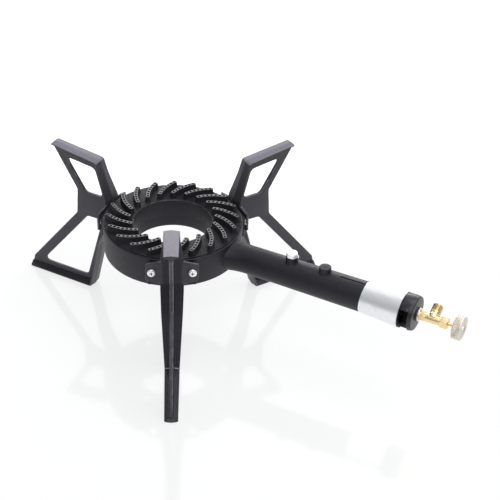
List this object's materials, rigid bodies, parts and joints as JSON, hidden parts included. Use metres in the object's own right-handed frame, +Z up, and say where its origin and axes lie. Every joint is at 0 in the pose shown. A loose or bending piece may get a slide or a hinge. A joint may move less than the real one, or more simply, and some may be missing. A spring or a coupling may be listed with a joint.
{
  "type": "outdoor gas stove",
  "caption": "Cast-iron outdoor gas stove: ring burner with swirl ridges on bolted legs, long mixing tube, turning air shutter and brass needle valve with knob.",
  "frame": {"origin": "on the floor, under the middle of the whole stove from the rear toe to the knob face", "axes": "+X along the mixing tube towards the knob, +Z up, +Y to the left when looking along +X"},
  "size_m": [0.6252, 0.398, 0.211],
  "materials": {
    "cast_iron": "black satin casting",
    "burner_iron": "black casting with ground ridge tops",
    "zinc": "bright zinc plate",
    "washer_steel": "pale plated steel",
    "foil": "bare silver foil",
    "black_coat": "black coat, satin",
    "brass": "machined brass",
    "stem_steel": "turned steel",
    "knob_metal": "knurled pale metal",
    "packing": "white sealing ring"
  },
  "bodies": {
    "stove": {"burner_body": "cast_iron", "burner_head": "burner_iron", "head_screws": "zinc", "leg_rear": "cast_iron", "leg_right": "cast_iron", "leg_left": "cast_iron", "leg_screws": "zinc", "tube_boss_screw": "zinc", "rating_foil": "foil", "clamp_washer": "washer_steel", "valve_body": "brass", "valve_lock_nut": "brass", "gas_jet": "brass", "gland_nut": "brass", "gland_packing": "packing"},
    "shutter": {"air_shutter": "black_coat", "shutter_set_screw": "zinc"},
    "needle": {"needle_tip": "stem_steel"},
    "knob": {"needle_spindle": "brass", "control_knob": "knob_metal", "knob_screw": "zinc"}
  },
  "joints": [
    {"name": "air_shutter_turn", "type": "hinge", "parent": "stove", "child": "shutter", "pos_m": [0.2445, 0, 0.1225], "axis": [1, 0, 0], "range_deg": [0, 115]},
    {"name": "needle_lift", "type": "slide", "parent": "stove", "child": "needle", "axis": [1, 0, 0], "range_m": [0, 0.0016]},
    {"name": "knob_turn", "type": "hinge", "parent": "needle", "child": "knob", "pos_m": [0.3035, 0, 0.1225], "axis": [1, 0, 0], "range_deg": [0, 540]}
  ],
  "couplings": [
    {"joint": "needle_lift", "follows": "knob_turn", "m_per_rad": 0.00015915}
  ]
}
